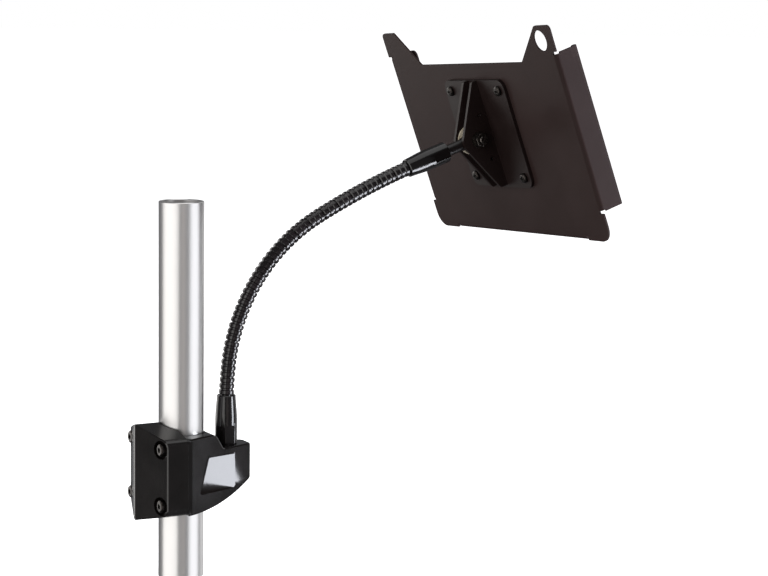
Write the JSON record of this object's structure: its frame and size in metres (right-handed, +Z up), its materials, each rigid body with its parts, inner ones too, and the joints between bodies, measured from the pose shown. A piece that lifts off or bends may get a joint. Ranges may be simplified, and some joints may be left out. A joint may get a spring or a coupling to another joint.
{
  "type": "pole device stand",
  "caption": "Round pole with a split clamp, a bendable ribbed neck and a tilting clevis that carries a folded sheet tray for a tablet.",
  "frame": {"origin": "centre of the pole's lower end", "axes": "+Z up the pole, +X from the pole towards the tray, +Y to the left of someone looking along +X"},
  "size_m": [0.3683, 0.2735, 0.4306],
  "materials": {
    "pole_metal": "satin stainless tube, brushed along its length",
    "liner_rubber": "matt moulded rubber",
    "clamp_paint": "cast aluminium, satin black powder coat",
    "screw_steel": "black oxide steel",
    "stud_steel": "plain steel",
    "ferrule_paint": "turned steel, gloss black",
    "neck_paint": "ribbed steel hose, gloss black",
    "stem_steel": "turned steel, dark finish",
    "washer_plastic": "natural nylon",
    "bracket_paint": "welded steel, black powder coat",
    "bolt_steel": "zinc plated steel",
    "tray_paint": "folded steel sheet, dark powder coat",
    "pad_foam": "closed-cell foam"
  },
  "bodies": {
    "pole": {"pole_tube": "pole_metal"},
    "liner": {"liner_pad_rear": "liner_rubber", "liner_pad_front": "liner_rubber"},
    "clamp": {"clamp_bracket_rear": "clamp_paint", "clamp_bracket_front": "clamp_paint", "clamp_screws": "screw_steel", "neck_stud": "stud_steel", "ferrule_lower": "ferrule_paint"},
    "hose_01": {"neck_link_01": "neck_paint"},
    "hose_02": {"neck_link_02": "neck_paint"},
    "hose_03": {"neck_link_03": "neck_paint"},
    "hose_04": {"neck_link_04": "neck_paint"},
    "hose_05": {"neck_link_05": "neck_paint"},
    "hose_06": {"neck_link_06": "neck_paint"},
    "hose_07": {"neck_link_07": "neck_paint"},
    "hose_08": {"neck_link_08": "neck_paint"},
    "hose_09": {"neck_link_09": "neck_paint"},
    "hose_10": {"neck_link_10": "neck_paint"},
    "hose_11": {"neck_link_11": "neck_paint"},
    "hose_12": {"neck_link_12": "neck_paint"},
    "hose_13": {"neck_link_13": "neck_paint"},
    "hose_14": {"neck_link_14": "neck_paint"},
    "hose_15": {"neck_link_15": "neck_paint"},
    "hose_16": {"neck_link_16": "neck_paint"},
    "hose_17": {"neck_link_17": "neck_paint"},
    "hose_end": {"neck_link_18": "neck_paint", "ferrule_upper": "ferrule_paint"},
    "stem": {"swivel_stem": "stem_steel"},
    "head": {"friction_washers": "washer_plastic", "clevis_bracket": "bracket_paint", "tilt_bolt": "bolt_steel", "tilt_nut": "bolt_steel", "tilt_washers": "bolt_steel", "vesa_screws": "screw_steel", "vesa_nuts": "bolt_steel", "tablet_tray": "tray_paint", "tray_pads": "pad_foam"}
  },
  "joints": [
    {"name": "clamp_height", "type": "slide", "parent": "pole", "child": "liner", "axis": [0, 0, 1], "range_m": [-0.045, 0.165]},
    {"name": "clamp_turn", "type": "hinge", "parent": "liner", "child": "clamp", "pos_m": [0, 0, 0.085], "axis": [0, 0, 1], "continuous": true},
    {"name": "neck_bend_1", "type": "hinge", "parent": "clamp", "child": "hose_01", "pos_m": [0.03855, 0, 0.1395], "axis": [0, 1, 0], "range_deg": [-6, 6.5]},
    {"name": "neck_sway_1", "type": "hinge", "parent": "hose_01", "child": "hose_02", "pos_m": [0.03944, 0, 0.15366], "axis": [0.9967, 0, -0.0812], "range_deg": [-6, 6]},
    {"name": "neck_bend_2", "type": "hinge", "parent": "hose_02", "child": "hose_03", "pos_m": [0.04085, 0, 0.16777], "axis": [0, 1, 0], "range_deg": [-6, 6.5]},
    {"name": "neck_sway_2", "type": "hinge", "parent": "hose_03", "child": "hose_04", "pos_m": [0.04362, 0, 0.18168], "axis": [0.9703, 0, -0.2418], "range_deg": [-6, 6]},
    {"name": "neck_bend_3", "type": "hinge", "parent": "hose_04", "child": "hose_05", "pos_m": [0.0477, 0, 0.19526], "axis": [0, 1, 0], "range_deg": [-6, 6.5]},
    {"name": "neck_sway_3", "type": "hinge", "parent": "hose_05", "child": "hose_06", "pos_m": [0.05308, 0, 0.20839], "axis": [0.9063, 0, -0.4227], "range_deg": [-6, 6]},
    {"name": "neck_bend_4", "type": "hinge", "parent": "hose_06", "child": "hose_07", "pos_m": [0.05968, 0, 0.22094], "axis": [0, 1, 0], "range_deg": [-6, 6.5]},
    {"name": "neck_sway_4", "type": "hinge", "parent": "hose_07", "child": "hose_08", "pos_m": [0.06746, 0, 0.2328], "axis": [0.8088, 0, -0.588], "range_deg": [-6, 6]},
    {"name": "neck_bend_5", "type": "hinge", "parent": "hose_08", "child": "hose_09", "pos_m": [0.07634, 0, 0.24386], "axis": [0, 1, 0], "range_deg": [-6, 6.5]},
    {"name": "neck_sway_5", "type": "hinge", "parent": "hose_09", "child": "hose_10", "pos_m": [0.08625, 0, 0.25402], "axis": [0.6816, 0, -0.7317], "range_deg": [-6, 6]},
    {"name": "neck_bend_6", "type": "hinge", "parent": "hose_10", "child": "hose_11", "pos_m": [0.09708, 0, 0.26318], "axis": [0, 1, 0], "range_deg": [-6, 6.5]},
    {"name": "neck_sway_6", "type": "hinge", "parent": "hose_11", "child": "hose_12", "pos_m": [0.10874, 0, 0.27125], "axis": [0.5293, 0, -0.8484], "range_deg": [-6, 6]},
    {"name": "neck_bend_7", "type": "hinge", "parent": "hose_12", "child": "hose_13", "pos_m": [0.12112, 0, 0.27817], "axis": [0, 1, 0], "range_deg": [-6, 6.5]},
    {"name": "neck_sway_7", "type": "hinge", "parent": "hose_13", "child": "hose_14", "pos_m": [0.13375, 0, 0.28463], "axis": [0.4446, 0, -0.8957], "range_deg": [-6, 6]},
    {"name": "neck_bend_8", "type": "hinge", "parent": "hose_14", "child": "hose_15", "pos_m": [0.14653, 0, 0.29079], "axis": [0, 1, 0], "range_deg": [-6, 6.5]},
    {"name": "neck_sway_8", "type": "hinge", "parent": "hose_15", "child": "hose_16", "pos_m": [0.15944, 0, 0.29665], "axis": [0.4032, 0, -0.9151], "range_deg": [-6, 6]},
    {"name": "neck_bend_9", "type": "hinge", "parent": "hose_16", "child": "hose_17", "pos_m": [0.17248, 0, 0.30222], "axis": [0, 1, 0], "range_deg": [-6, 6.5]},
    {"name": "neck_sway_9", "type": "hinge", "parent": "hose_17", "child": "hose_end", "pos_m": [0.18565, 0, 0.30749], "axis": [0.361, 0, -0.9326], "range_deg": [-6, 6]},
    {"name": "head_swivel", "type": "hinge", "parent": "hose_end", "child": "stem", "pos_m": [0.2352, 0, 0.32509], "axis": [0.9444, 0, 0.3288], "range_deg": [-180, 180]},
    {"name": "head_tilt", "type": "hinge", "parent": "stem", "child": "head", "pos_m": [0.26221, 0, 0.33449], "axis": [-0.0158, -0.9988, 0.0453], "range_deg": [-60, 60]}
  ]
}
